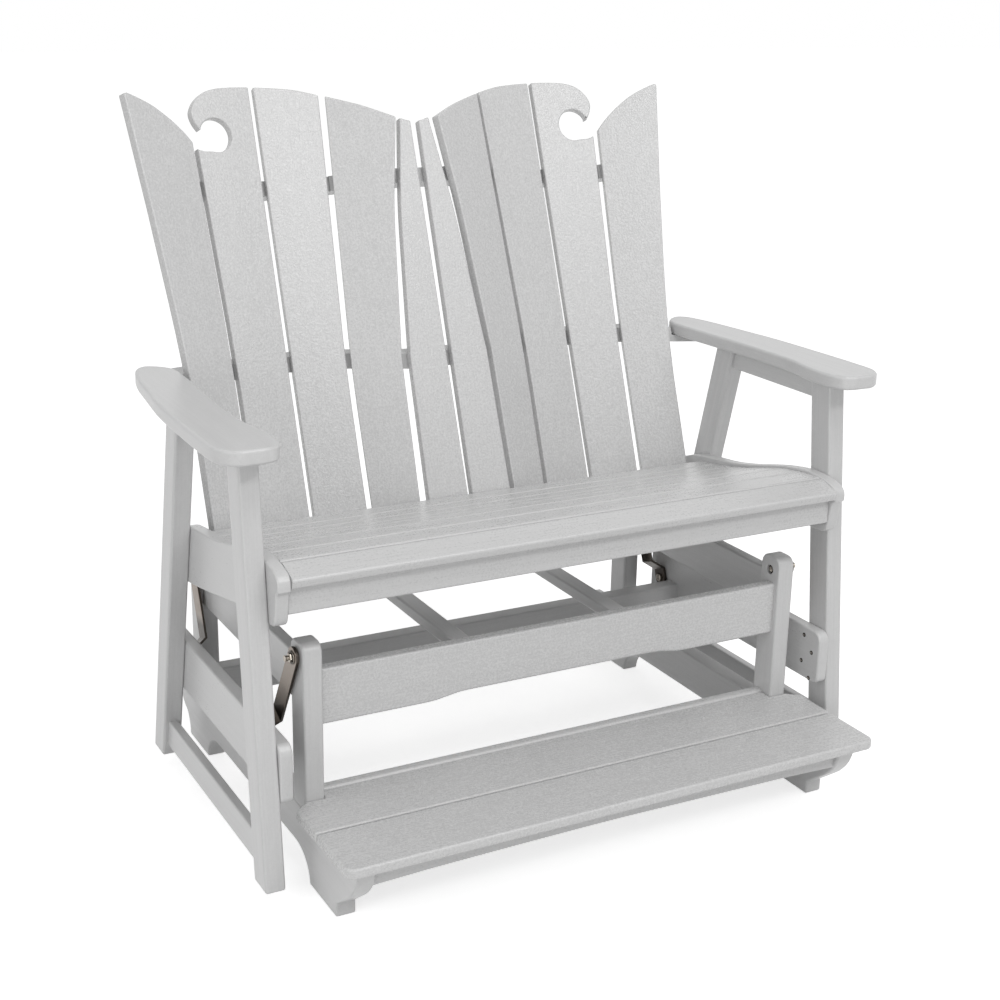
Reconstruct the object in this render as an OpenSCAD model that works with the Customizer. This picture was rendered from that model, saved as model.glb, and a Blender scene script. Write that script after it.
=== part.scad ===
// Double glider: a two-seat bench with a fan back that swings on four steel
// arms over a standing base with a foot platform.
//
// X runs across the bench, Y from front to back and Z up. The origin lies on
// the floor, midway between the foremost and the rearmost point. Inside the
// file, depths are measured from the front face of the base's front posts.

/* [Stock] */
// Thickness of posts, legs and floor rails
stock_t = 38; // [34:1:42]
// Front-to-back depth of posts and legs
leg_d = 60; // [54:1:66]
// Thickness of the wide boards
board_t = 25; // [21:1:27]
// Thickness of the light side boards
light_t = 19; // [15:1:22]
// Thickness of slats and planks
slat_t = 20; // [18:1:22]
// Rounding along the long edges of the boards
edge_r = 4; // [2:0.5:6]
// Clearance where one still piece meets another at a notch
fit_gap = 0.3; // [0.2:0.05:0.5]

/* [Base] */
// Width over the posts
base_w = 1070; // [1000:5:1150]
// Depth over the front and rear posts
base_d = 632; // [600:2:680]
// Height of the floor rails
rail_h = 141; // [130:1:150]
// Height of the arch under a floor rail
arch_h = 57; // [40:1:70]
// Length of the rounded end of the arch
arch_run = 68; // [40:1:90]
// Reach of the front foot ahead of the posts
foot_front = 137; // [125:1:140]
// Length of the front foot on the floor
foot_len = 125; // [100:1:125]
// Reach of the rear foot behind the rear posts
foot_rear = 46; // [40:1:56]
// Height of the swing pivots above the floor
pivot_z = 432; // [420:1:450]
// Height of the front and rear rails of the base
base_rail_h = 108; // [90:1:115]
// Drop from the pivots to the top of those rails
base_rail_drop = 25; // [25:1:35]
// Rise of the middle of the front rail's lower edge
rail_rise = 9; // [4:1:14]
// Height of the side boards between the posts
tie_h = 90; // [70:1:100]
// Drop from the pivots to the top of the side boards
tie_drop = 6; // [5:1:20]
// Corner radius of the posts' heads
post_r = 20; // [12:1:28]
// Width of the two cross slats
cross_w = 38; // [30:1:50]
// Thickness of the two cross slats
cross_t = 24; // [20:1:28]
// Distance of a cross slat from the middle
cross_x = 175; // [150:5:250]

/* [Platform] */
// How far the platform stands out past the posts on each side
plat_over = 27; // [20:1:32]
// Depth of the front plank
plank_front_d = 139; // [125:1:145]
// Depth of the rear plank
plank_rear_d = 140; // [130:1:150]
// Joint between the two planks
plank_joint = 4; // [3:0.5:6]
// How far the rear plank runs in between the front posts
plank_in = 27; // [20:1:35]
// Corner radius of the front plank
plank_r = 20; // [10:1:30]
// Height of the board behind the rear plank
heel_h = 114; // [90:1:120]
// How far that board stands above the planks
heel_up = 4; // [2:1:8]
// Height of the board under the front plank
toe_h = 47; // [35:1:55]
// Arch in the lower edge of the board under the front plank
toe_arch = 8; // [4:1:12]

/* [Swing arms] */
// Distance between the two eyes of an arm
arm_len = 210.5; // [206:0.5:220]
// Width of the arm strap
arm_w = 38; // [32:1:42]
// Thickness of the arm strap
arm_t = 6; // [5:0.5:8]
// Lean of a front arm at rest, foot of the arm to the rear
tilt_front = 30.5; // [28:0.5:32]
// Lean of a rear arm at rest, foot of the arm to the front
tilt_rear = 21.5; // [19:0.5:23]
// Distance along the arm from the upper eye to the outward bend
bend_at = 148; // [130:1:155]
// Length of the outward bend along the arm
bend_run = 42; // [34:1:46]
// Diameter of the pivot bolts
bolt_d = 12; // [10:0.5:14]
// Running clearance between bolt and eye, on the radius
eye_run = 0.05; // [0.03:0.01:0.1]
// Extra room in the lower eyes of the rear arms, on the radius
eye_room = 1.35; // [1.3:0.05:1.8]
// Setback of the rear bolts in their eyes at rest
eye_set = 1.2; // [1.1:0.05:1.25]
// Thickness of the washer between post and arm
washer_t = 2; // [1.5:0.5:3]
// Thickness of the pivot nut
nut_t = 4; // [4:0.5:7]
// Running gap beside each arm
side_run = 0.3; // [0.2:0.05:0.5]

/* [Seat frame] */
// Space between the posts and the seat's lower side rails
side_gap = 40; // [38:1:46]
// Place of the front pivot in the seat, behind the base's front face
pivot_in_seat_y = 137; // [130:1:145]
// Height of the front pivot in the seat when at rest
pivot_in_seat_z = 250.7; // [245:0.1:256]
// Height of the undersides of the legs when at rest
leg_foot_z = 34; // [30:1:40]
// Height of the underside of the armrests
arm_under_z = 815; // [790:1:840]
// Depth of the front leg's front face at the floor end
front_leg_y = -67; // [-75:1:-60]
// Backward lean of the front legs in degrees
front_leg_lean = 5.9; // [4:0.1:7]
// Depth of the rear leg's rear face at its foot
rear_leg_y = 595; // [585:1:605]
// Forward lean of the rear legs in degrees
rear_leg_lean = 14; // [12:0.1:15]
// Height of the lower side rails
low_rail_h = 112; // [95:1:125]
// Height of the underside of the lower side rails
low_rail_z = 192; // [185:1:200]
// Front end of the lower side rails
low_rail_front = -50; // [-56:1:-46]
// Reach of the lower side rails behind the rear lower pivots
low_rail_past = 48.5; // [35:0.5:58]
// Height of the bottom stretchers
stretch_h = 59; // [45:1:65]
// Underside of the bottom stretchers
stretch_z = 59; // [50:1:70]
// Height of the boards under the armrests
under_arm_h = 42; // [30:1:50]
// Height of the rear crossbar
bar_h = 60; // [50:1:65]
// Height of the underside of the rear crossbar
bar_z = 178; // [175:1:190]
// Distance of the rear crossbar ahead of the rear lower pivots
bar_set = 26.5; // [26:0.5:40]

/* [Seat] */
// Number of seat slats
seat_n = 8; // [8:1:8]
// Gap between seat slats
seat_gap = 3.7; // [3:0.1:6]
// Clearance between the last seat slat and the back slats
seat_clear = 0.8; // [0.5:0.1:3]
// Front upper edge of the front slat: depth
seat_y = -67; // [-70:1:-62]
// Front upper edge of the front slat: height
seat_z = 613; // [608:1:616]
// Height of the apron under the front slat
apron_h = 57; // [45:1:60]
// Setback of the apron's face from the front edge of the seat
apron_in = 25; // [18:1:35]
// Depth of the middle support under the slats
spine_h = 44; // [35:1:55]

/* [Armrests] */
// Thickness of an armrest
rest_t = 28; // [24:1:32]
// Width of an armrest at its widest
rest_w = 117; // [105:1:125]
// How far the armrests reach inwards past the seat sides
rest_lap = 2; // [0:0.5:4]
// Front end of the armrests
rest_front = -53; // [-60:1:-45]
// Rear tip of the armrests
rest_rear = 590; // [580:1:600]

/* [Back] */
// Lean of the back in degrees
back_lean = 20.5; // [18:0.5:22]
// Height of the crown of the back
back_top = 1354; // [1300:2:1380]
// Height of the lower ends of the back slats
back_bottom = 478; // [470:1:482]
// Depth of the back's face in the middle, at the armrests' level
back_y = 498; // [490:1:508]
// Height at which that depth is taken
back_z = 800; // [790:1:810]
// Gap between back slats
back_gap = 9; // [8:0.5:12]
// Depth of the wave across the back, deepest point
wave = 66; // [55:1:72]
// Radius of the hollow in the scrolls
scroll_r = 34; // [28:1:36]
// Height of the level rail behind the slats
shelf_h = 30; // [26:1:34]
// How far that rail reaches below the armrests' underside
shelf_down = 14; // [10:1:18]
// Depth of the level rail
shelf_d = 56; // [48:1:62]
// Height of the lower rail behind the slats
sill_h = 36; // [28:1:44]
// Depth of the lower rail
sill_d = 40; // [34:1:46]
// Height of the upper rail along the slats
crest_h = 31; // [30:1:42]
// Distance of the upper rail's top edge below the crown, along the slats
crest_drop = 165; // [140:1:180]
// Depth of the upper rail
crest_d = 46; // [36:1:52]
// Distance of the upper rail's ends inside the seat sides
crest_in = 39; // [30:1:75]

/* [Hidden] */
$fn = 48;
plastic = [0.81, 0.81, 0.80];
plastic_2 = [0.76, 0.76, 0.75];
steel = [0.47, 0.44, 0.41];

// sideways stations
post_out = base_w / 2;
post_in = post_out - stock_t;
side_in = post_out + side_gap;
leg_in = side_in + board_t;
leg_out = leg_in + stock_t;
rest_in = side_in - rest_lap;
crest_x = side_in - crest_in;
// the back slats share out the width between the seat sides
span = (side_in - 18) / 557;

// base heights and depths
plat_w = base_w + 2 * plat_over;
plank_z = rail_h;
plat_top = rail_h + slat_t;
plank_rear_y0 = plank_in - plank_rear_d;
plank_front_y1 = plank_rear_y0 - plank_joint;
plat_front = plank_front_y1 - plank_front_d;
base_rail_top = pivot_z - base_rail_drop;
rail_set = 12;
rail_tail = 103;

// pivots
pivot_front_y = leg_d / 2;
pivot_rear_y = base_d - leg_d / 2;
low_front = [pivot_front_y + arm_len * sin(tilt_front), pivot_z - arm_len * cos(tilt_front)];
low_rear = [pivot_rear_y - arm_len * sin(tilt_rear), pivot_z - arm_len * cos(tilt_rear)];
arm_x0 = post_out + washer_t + side_run;
arm_out = side_in - washer_t - side_run - arm_t;
joggle = arm_out - arm_x0;
eye_d = bolt_d + 2 * eye_run;
sink_d = bolt_d + 8;
sink_t = 6;
head_d = bolt_d + 3;

// the seat hangs so that its front pivot meets the lower eye of the front arms
seat_shift = [0, low_front[0] - pivot_in_seat_y, low_front[1] - pivot_in_seat_z];
hole_front = [pivot_in_seat_y, pivot_in_seat_z];
hole_rear = [low_rear[0] - seat_shift[1] + eye_set, low_rear[1] - seat_shift[2]];
bar_y = hole_rear[0] - bar_set - stock_t;
low_rail_rear = hole_rear[0] + low_rail_past;

// slope of each seat slat from front to back, in degrees
seat_slope = [17, -4, -8, -14, -15.5, -13, -10.5, -7.5];
// the slats fill the depth between the front edge and the foot of the back
seat_fall = 77.5;
seat_depth = back_y + (seat_z - seat_fall - back_z) * tan(back_lean) - seat_clear - seat_y
    + slat_t * sin(-seat_slope[seat_n - 1]);
gap_run = [for (i = [1:seat_n - 1]) cos((seat_slope[i - 1] + seat_slope[i]) / 2)];
slat_run = [for (a = seat_slope) cos(a)];
function total(v, i = 0) = i < len(v) ? v[i] + total(v, i + 1) : 0;
seat_slat_w = (seat_depth - seat_gap * total(gap_run)) / total(slat_run);

// the back: gap lines between slats as [height share, distance from the middle],
// from the middle outwards; the share runs from 0 at back_z to 1 at the crown
gap_lines = [
    [[-1, 0], [0, 0], [1, 0]],
    [[-1, 104], [0, 97.3], [0.09, 94.2], [0.35, 81], [0.58, 68], [0.775, 51.4], [1, 32]],
    [[-1, 208], [0, 206], [0.5, 194], [1, 180]],
    [[-1, 328], [0, 327], [1, 323]],
    [[-1, 446], [0, 447], [0.5, 455], [0.8, 462], [1, 467]],
    [[-1, 553], [0, 556], [0.5, 579], [1, 610]]
];
// where the inner and the outer edge of each slat lie in the wave, as shares of its depth;
// the two middle slats stand flat, a little in front of their neighbours
wave_x = span * [0, 96, 206, 327, 447, 557];
wave_f = [[0, 0], [0.08, 0.82], [0.82, 1.06], [1.06, 0.79], [0.79, 0.13]];
// tops of the slats as [share across from the inner edge, drop from the crown]
top_5 = [[0, 66], [0.4, 64], [1, 60]];
top_4 = [[0, 56], [0.5, 34], [1, 18]];
top_3 = [[0, 17], [0.35, 7], [0.68, 3], [1, 1]];
top_2 = [[0, 0.5], [0.3, 0], [0.57, 2], [0.775, 10], [0.925, 26], [1, 45], [0.975, 64], [0.895, 81]];
top_1 = [[0, 100], [0.13, 79], [0.33, 53], [0.6, 25], [0.92, 3], [1, 2]];
scroll_c = [0.655, 89.5];

// overall depth and the origin on the floor
crown_y = max([for (k = [0:4], p = tops(k)) rear_corner(k, top_pt(k, p[0], p[1]))]);
mid_y = (plat_front + crown_y + seat_shift[1]) / 2;

// Smooth curve through a few points (Catmull-Rom), n steps between two points
function curve(p, n = 6) = let (m = len(p) - 1) concat(
    [for (i = [0:m - 1], k = [0:n - 1]) let (
        a = p[max(i - 1, 0)], b = p[i], c = p[i + 1], d = p[min(i + 2, m)], t = k / n)
        0.5 * (2 * b + (c - a) * t + (2 * a - 5 * b + 4 * c - d) * t * t
               + (3 * b - a - 3 * c + d) * t * t * t)],
    [p[m]]);
// The same, closed on itself
function ring(p, n = 6) = let (m = len(p))
    [for (i = [0:m - 1], k = [0:n - 1]) let (
        a = p[(i + m - 1) % m], b = p[i], c = p[(i + 1) % m], d = p[(i + 2) % m], t = k / n)
        0.5 * (2 * b + (c - a) * t + (2 * a - 5 * b + 4 * c - d) * t * t
               + (3 * b - a - 3 * c + d) * t * t * t)];
// Points on an arc
function arc(c, r, a0, a1, n = 8) =
    [for (k = [0:n]) let (a = a0 + (a1 - a0) * k / n) c + [r[0] * cos(a), r[1] * sin(a)]];
// Box outline with rounded corners
function soft_box(x0, y0, x1, y1, r) = concat(
    arc([x1 - r, y0 + r], [r, r], -90, 0, 5), arc([x1 - r, y1 - r], [r, r], 0, 90, 5),
    arc([x0 + r, y1 - r], [r, r], 90, 180, 5), arc([x0 + r, y0 + r], [r, r], 180, 270, 5));
// Value between listed stations
function between(x, xs, ys) = let (
    hit = [for (i = [0:len(xs) - 2]) if (x >= xs[i] && x <= xs[i + 1]) i],
    i = len(hit) > 0 ? hit[0] : (x < xs[0] ? 0 : len(xs) - 2))
    ys[i] + (ys[i + 1] - ys[i]) * (x - xs[i]) / (xs[i + 1] - xs[i]);

// Outline in Y and Z, pushed from x0 to x1
module along_x(x0, x1)
    translate([x0, 0, 0]) rotate([90, 0, 90]) linear_extrude(height = x1 - x0) children();
// Outline in X and Z, pushed from y0 to y1
module along_y(y0, y1)
    translate([0, y1, 0]) rotate([90, 0, 0]) linear_extrude(height = y1 - y0) children();
// Right-hand piece, or its mirror image on the left
module on_side(s) { if (s < 0) mirror([1, 0, 0]) children(); else children(); }
// A still piece of the base
module base_piece(c = plastic) color(c) translate([0, -mid_y, 0]) children();
// A piece that swings with the seat
module seat_piece(c = plastic) color(c) translate([0, -mid_y, 0]) translate(seat_shift) children();

// Side view of a floor rail: nose, arched underside, curled rear end
module rail_shape() {
    foot_r1 = base_d + foot_rear;
    tail = base_d + rail_tail;
    arch_y1 = foot_r1 - foot_len + 3;
    difference() {
        polygon(concat(
            [[-foot_front, 0]],
            [[foot_r1 - 4, 0]],
            curve([[foot_r1, 5], [foot_r1 + 1, 22], [foot_r1 + 13, 45], [foot_r1 + 38, 60],
                   [foot_r1 + 51, 80], [tail, 110], [tail, rail_h]], 5),
            curve([[-foot_front - 95, rail_h], [-foot_front - 82, 103], [-foot_front - 61, 75],
                   [-foot_front - 33, 52], [-foot_front, 27]], 6)));
        polygon(concat(
            [[foot_len - foot_front, -1]],
            [[arch_y1, -1]],
            arc([arch_y1 - arch_run, 0], [arch_run, arch_h], 0, 90, 10),
            arc([foot_len - foot_front + arch_run, 0], [arch_run, arch_h], 90, 180, 10)));
    }
}
module floor_rail(s) base_piece() on_side(s) along_x(post_in, post_out) rail_shape();

// Upright with a rounded head above the pivot, bored and countersunk
module post(s, y) base_piece() on_side(s) difference() {
    along_x(post_in, post_out) polygon(concat(
        [[y - leg_d / 2, rail_h], [y + leg_d / 2, rail_h]],
        arc([y + leg_d / 2 - post_r, pivot_z + leg_d / 2 - post_r], [post_r, post_r], 0, 90, 10),
        arc([y - leg_d / 2 + post_r, pivot_z + leg_d / 2 - post_r], [post_r, post_r], 90, 180, 10)));
    translate([post_in - 1, y, pivot_z]) rotate([0, 90, 0])
        cylinder(d = bolt_d + 2 * fit_gap, h = stock_t + 2);
    translate([post_in - 1, y, pivot_z]) rotate([0, 90, 0]) cylinder(d = sink_d, h = sink_t + 1);
}
module base_tie(s) base_piece(plastic_2) on_side(s)
    along_x(post_out - stock_t / 2 - board_t / 2, post_out - stock_t / 2 + board_t / 2)
        translate([leg_d, pivot_z - tie_drop - tie_h]) square([base_d - 2 * leg_d, tie_h]);

module front_rail() base_piece(plastic_2) along_y(rail_set, rail_set + board_t) {
    low = base_rail_top - base_rail_h;
    polygon(concat(
        [[-post_in, low]],
        curve([[-290, low], [-268, low + rail_rise * 0.12], [-245, low + rail_rise / 2],
               [-222, low + rail_rise * 0.88], [-200, low + rail_rise]], 3),
        curve([[200, low + rail_rise], [222, low + rail_rise * 0.88], [245, low + rail_rise / 2],
               [268, low + rail_rise * 0.12], [290, low]], 3),
        [[post_in, low], [post_in, base_rail_top], [-post_in, base_rail_top]]));
}
module rear_rail() base_piece(plastic_2) along_x(-post_in, post_in)
    polygon(soft_box(base_d - rail_set - board_t, base_rail_top - base_rail_h,
                     base_d - rail_set, base_rail_top, edge_r));
module cross_slat(s) base_piece(plastic_2) on_side(s)
    along_y(rail_set + board_t, base_d - rail_set - board_t)
        polygon(soft_box(cross_x - cross_w / 2, base_rail_top - 31 - cross_t,
                         cross_x + cross_w / 2, base_rail_top - 31, edge_r));

// Rear plank, notched round the front posts, with its rear corners cut away
module rear_plank() base_piece() translate([0, 0, plank_z]) linear_extrude(height = slat_t) {
    w = plat_w / 2;
    right = [[w, plank_rear_y0], [w, -24], [post_out + fit_gap, -fit_gap],
             [post_in - fit_gap, -fit_gap], [post_in - fit_gap, plank_in]];
    polygon(concat(right, [for (i = [len(right) - 1:-1:0]) [-right[i][0], right[i][1]]]));
}
module front_plank() base_piece() translate([0, 0, plank_z]) linear_extrude(height = slat_t) {
    w = plat_w / 2;
    polygon(concat([[w, plank_front_y1], [-w, plank_front_y1]],
        arc([-w + plank_r, plat_front + plank_r], [plank_r, plank_r], 180, 270),
        arc([w - plank_r, plat_front + plank_r], [plank_r, plank_r], 270, 360)));
}
// Board behind the rear plank; its rounded top stands a little proud
module heel_board() base_piece(plastic_2) along_x(-post_in + fit_gap, post_in - fit_gap)
    polygon(concat(
        arc([plank_in + fit_gap + board_t - 8, plat_top + heel_up - 8], [8, 8], 0, 90, 6),
        arc([plank_in + fit_gap + 8, plat_top + heel_up - 8], [8, 8], 90, 180, 6),
        [[plank_in + fit_gap, plat_top + heel_up - heel_h],
         [plank_in + fit_gap + board_t, plat_top + heel_up - heel_h]]));
module toe_board() base_piece(plastic_2) along_y(plat_front + 44, plat_front + 44 + board_t)
    polygon(concat([[post_in, plank_z], [-post_in, plank_z]],
        curve([[-post_in, plank_z - toe_h], [-post_in * 0.7, plank_z - toe_h + toe_arch * 0.55],
               [0, plank_z - toe_h + toe_arch],
               [post_in * 0.7, plank_z - toe_h + toe_arch * 0.55], [post_in, plank_z - toe_h]], 5)));

// Pivot bolt of a post with its head, washer and nut
module post_bolt(y) translate([0, y, pivot_z]) rotate([0, 90, 0]) {
    outer = arm_x0 + arm_t + side_run;
    translate([0, 0, post_in + sink_t - 4]) cylinder(d = head_d, h = 4);
    translate([0, 0, post_in + sink_t - 1])
        cylinder(d = bolt_d, h = outer + washer_t + nut_t + 3 - post_in - sink_t + 1);
    translate([0, 0, post_out]) cylinder(d = 2 * bolt_d, h = washer_t);
    translate([0, 0, outer]) cylinder(d = 2.1 * bolt_d, h = washer_t);
    translate([0, 0, outer + washer_t - 0.5]) cylinder(d = 1.6 * bolt_d, h = nut_t + 0.5, $fn = 6);
}
module base_bolts() base_piece(steel) for (s = [-1, 1], y = [pivot_front_y, pivot_rear_y])
    on_side(s) post_bolt(y);

// Swing arm: a flat strap with round eyes, bent outwards below the middle
module arm_shape(room) difference() {
    intersection() {
        rotate([90, 0, 0]) translate([0, 0, -arm_w / 2]) linear_extrude(height = arm_w) polygon([
            [0, arm_w], [0, -bend_at], [joggle, -bend_at - bend_run], [joggle, -arm_len - arm_w],
            [joggle + arm_t, -arm_len - arm_w], [joggle + arm_t, -bend_at - bend_run + 2],
            [arm_t, -bend_at + 2], [arm_t, arm_w]]);
        rotate([90, 0, 90]) linear_extrude(height = joggle + arm_t) union() {
            circle(d = arm_w, $fn = 96);
            translate([-arm_w / 2, -arm_len]) square([arm_w, arm_len]);
            translate([0, -arm_len]) circle(d = arm_w, $fn = 96);
        }
    }
    translate([-1, 0, 0]) rotate([0, 90, 0]) cylinder(d = eye_d, h = arm_t + 2);
    translate([joggle - 1, 0, -arm_len]) rotate([0, 90, 0])
        cylinder(d = eye_d + 2 * room, h = arm_t + 2);
}
module arm(s, y, tilt, room) base_piece(steel) on_side(s)
    translate([arm_x0, y, pivot_z]) rotate([tilt, 0, 0]) arm_shape(room);

// Leg between two heights; the face leans with height
module leg_shape(y_foot, lean, dir) {
    dy = dir * (arm_under_z - leg_foot_z) * tan(lean);
    polygon([[y_foot, leg_foot_z], [y_foot + leg_d, leg_foot_z],
             [y_foot + leg_d + dy, arm_under_z], [y_foot + dy, arm_under_z]]);
}
module front_leg(s) seat_piece() on_side(s) along_x(leg_in, leg_out)
    leg_shape(front_leg_y, front_leg_lean, 1);
module rear_leg(s) seat_piece() on_side(s) along_x(leg_in, leg_out)
    leg_shape(rear_leg_y - leg_d, rear_leg_lean, -1);
function front_leg_back(z) = front_leg_y + leg_d + (z - leg_foot_z) * tan(front_leg_lean);
function rear_leg_face(z) = rear_leg_y - leg_d - (z - leg_foot_z) * tan(rear_leg_lean);
function rear_leg_back(z) = rear_leg_face(z) + leg_d;
// Board that fills the space between the two legs of a side
module leg_tie(z0, z1) along_x((leg_in + leg_out - light_t) / 2, (leg_in + leg_out + light_t) / 2)
    polygon([[front_leg_back(z0), z0], [rear_leg_face(z0), z0],
             [rear_leg_face(z1), z1], [front_leg_back(z1), z1]]);
module stretcher(s) seat_piece(plastic_2) on_side(s) leg_tie(stretch_z, stretch_z + stretch_h);
module under_arm(s) seat_piece(plastic_2) on_side(s) leg_tie(arm_under_z - under_arm_h, arm_under_z);

// Lower side rail, bored for the lower pivots
module low_rail(s) seat_piece() on_side(s) difference() {
    along_x(side_in, leg_in) polygon(concat(
        arc([low_rail_rear - 14, low_rail_z + 14], [14, 14], -90, 0, 5),
        arc([low_rail_rear - 20, low_rail_z + low_rail_h - 20], [20, 20], 0, 90, 6),
        arc([low_rail_front + 20, low_rail_z + low_rail_h - 20], [20, 20], 90, 180, 6),
        arc([low_rail_front + 14, low_rail_z + 14], [14, 14], 180, 270, 5)));
    for (p = [hole_front, hole_rear]) translate([side_in - 1, p[0], p[1]]) rotate([0, 90, 0])
        cylinder(d = bolt_d + 2 * fit_gap, h = board_t - 3);
}
module crossbar() seat_piece(plastic_2) along_x(-side_in, side_in)
    polygon(soft_box(bar_y, bar_z, bar_y + stock_t, bar_z + bar_h, edge_r));
// Lower pivot bolt: washer, head and a shank that runs into the side rail
module rail_bolt(p) translate([0, p[0], p[1]]) rotate([0, 90, 0]) {
    translate([0, 0, arm_out - side_run - nut_t]) cylinder(d = 1.6 * bolt_d, h = nut_t, $fn = 6);
    translate([0, 0, arm_out - side_run - 1]) cylinder(d = bolt_d, h = side_in - arm_out + side_run + board_t - 5);
    translate([0, 0, side_in - washer_t]) cylinder(d = 2 * bolt_d, h = washer_t);
}
module seat_bolts() seat_piece(steel) for (s = [-1, 1], p = [hole_front, hole_rear])
    on_side(s) rail_bolt(p);

// Face of the back in the middle, at height z
function back_face(z) = back_y + (z - back_z) * tan(back_lean);
// Chain of seat slats: front upper edge of slat i
function seat_start(i) = i == 0 ? [seat_y, seat_z] : let (
    a = seat_slope[i - 1], m = (seat_slope[i - 1] + seat_slope[i]) / 2)
    seat_start(i - 1) + seat_slat_w * [cos(a), sin(a)] + seat_gap * [cos(m), sin(m)];
// Underside corner of slat i, e from 0 at its front to 1 at its rear
function seat_under(i, e) = seat_start(i)
    + seat_slat_w * e * [cos(seat_slope[i]), sin(seat_slope[i])]
    + slat_t * [sin(seat_slope[i]), -cos(seat_slope[i])];
module seat_slat(i) seat_piece() along_x(-side_in + fit_gap, side_in - fit_gap)
    translate(seat_start(i)) rotate(seat_slope[i]) difference() {
        polygon(soft_box(0, -slat_t, seat_slat_w, 0, i == 0 ? edge_r + 1 : edge_r));
        // the front slat's rear face is cut parallel to the next slat's front face
        if (i == 0) translate([seat_slat_w, -edge_r]) rotate(seat_slope[1] - seat_slope[0])
            translate([0, -2 * slat_t]) square([slat_t, 2 * slat_t]);
    }

// Seat side board: curved top that dips behind the knees
module side_shape() {
    z_back = 548;
    polygon(concat(
        curve([[rear_leg_back(z_back), z_back], [422, 563], [358, 572], [290, 580], [219, 594],
               [152, 611], [102, 622], [43, 631], [4, 631], [-31, 626], [-51, 619], [-60, 608],
               [-60, 592]], 4),
        [[-52, 586]],
        curve([[-50, 580], [-42, 536], [-32, 523], [-16, 520], [40, 517], [168, 495], [312, 465],
               [410, 447]], 4),
        [[rear_leg_back(434), 434]]));
}
module seat_side(s) seat_piece() on_side(s) along_x(side_in, leg_in) side_shape();
module seat_apron() seat_piece(plastic_2) {
    a = seat_slope[0];
    top = seat_under(0, (apron_in - slat_t * sin(a)) / (seat_slat_w * cos(a)))[1] - fit_gap;
    along_x(-side_in + fit_gap, side_in - fit_gap)
        polygon(soft_box(seat_y + apron_in, top - apron_h, seat_y + apron_in + board_t, top, edge_r));
}
// Middle support: its top follows the undersides of the slats
module seat_spine() seat_piece(plastic_2) {
    y0 = seat_y + apron_in + board_t;
    tops = [for (i = [0:seat_n - 1], e = [0.08, 0.92]) let (p = seat_under(i, e))
        if (p[0] > y0 + 1) p - [0, fit_gap]];
    last = tops[len(tops) - 1];
    low = last[1] - spine_h;
    along_x(-stock_t / 2, stock_t / 2) polygon(concat(
        [[y0, tops[0][1] - (tops[0][0] - y0) * tan(seat_slope[0])]],
        tops,
        [[back_face(last[1] - 1) - fit_gap, last[1] - 1], [back_face(low) - fit_gap, low],
         [y0, tops[0][1] - spine_h - 8]]));
}

// Plan of an armrest, drawn for its inner edge, width, front and rear ends
module rest_shape() {
    k = rest_w;
    f = rest_front;
    b = rest_rear;
    polygon(ring([for (p = [[0.36, b], [0.14, b - 18], [0.01, b - 50], [0.01, b - 120],
        [0.08, b - 260], [0.12, b - 390], [0.10, f + 174], [0.01, f + 113], [0, f + 48],
        [0.10, f + 12], [0.27, f + 1], [0.48, f], [0.70, f + 1], [0.92, f + 25], [1, f + 73],
        [0.985, f + 253], [0.95, b - 290], [0.88, b - 210], [0.76, b - 90], [0.64, b - 27],
        [0.52, b - 5]]) [rest_in + k * p[0], p[1]]], 5));
}
module armrest(s) seat_piece() on_side(s)
    translate([0, 0, arm_under_z]) linear_extrude(height = rest_t) rest_shape();

// The back works in a leaning frame: x across, w square to the slats, v up along them
module in_back() translate([0, back_y, back_z]) rotate([-back_lean, 0, 0]) children();
function wave_at(k, end) = wave * cos(back_lean) * wave_f[k][end];
function slat_mid(k) = (wave_x[k] + wave_x[k + 1]) / 2;
function slat_turn(k) = atan((wave_at(k, 1) - wave_at(k, 0)) / (wave_x[k + 1] - wave_x[k]));
function face_w(k, x) = (wave_at(k, 0) + wave_at(k, 1)) / 2 + (x - slat_mid(k)) * tan(slat_turn(k));
// point of slat k's face seen at distance x and height z, in the slat's own plane
function in_slat(k, x, z) = [(x - slat_mid(k)) / cos(slat_turn(k)),
    (z - back_z + face_w(k, x) * sin(back_lean)) / cos(back_lean)];
function rear_corner(k, p) = let (q = in_slat(k, p[0], p[1]))
    back_y + q[1] * sin(back_lean) + cos(back_lean)
        * (face_w(k, slat_mid(k)) + q[0] * sin(slat_turn(k)) + slat_t * cos(slat_turn(k)));
function line_pts(k) = [for (p = gap_lines[k])
    [span * p[1], p[0] < 0 ? back_bottom : back_z + p[0] * (back_top - back_z)]];
function line_x(k, z) = between(z, [for (p = line_pts(k)) p[1]], [for (p = line_pts(k)) p[0]]);
// half the width of gap line k at height z; the gaps beside the two middle slats are wider
function gap_half(k, z) = back_gap / 2 + (k == 0 ? 5 * (z - back_bottom) / (back_top - back_bottom)
    : k == 1 ? 3.5 : 0);
// right and left edges of slat k from its foot up to height z
function edge_pts(k, side, z) = let (
    pts = curve(line_pts(k + side), 5), way = side == 1 ? -1 : 1)
    concat([for (p = pts) if (p[1] < z - 4) [p[0] + way * gap_half(k + side, p[1]), p[1]]],
        [[line_x(k + side, z) + way * gap_half(k + side, z), z]]);
function top_pt(k, f, drop) = let (z = back_top - drop,
    a = line_x(k, z) + gap_half(k, z), b = line_x(k + 1, z) - gap_half(k + 1, z)) [a + (b - a) * f, z];
// outline that starts and ends on the middle line, joined to its mirror image
function both_halves(p) = concat(p, [for (i = [len(p) - 2:-1:1]) [-p[i][0], p[i][1]]]);
function backwards(p) = [for (i = [len(p) - 1:-1:0]) p[i]];
function tops(k) = [top_5, top_4, top_3, top_2, top_1][k];

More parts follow.
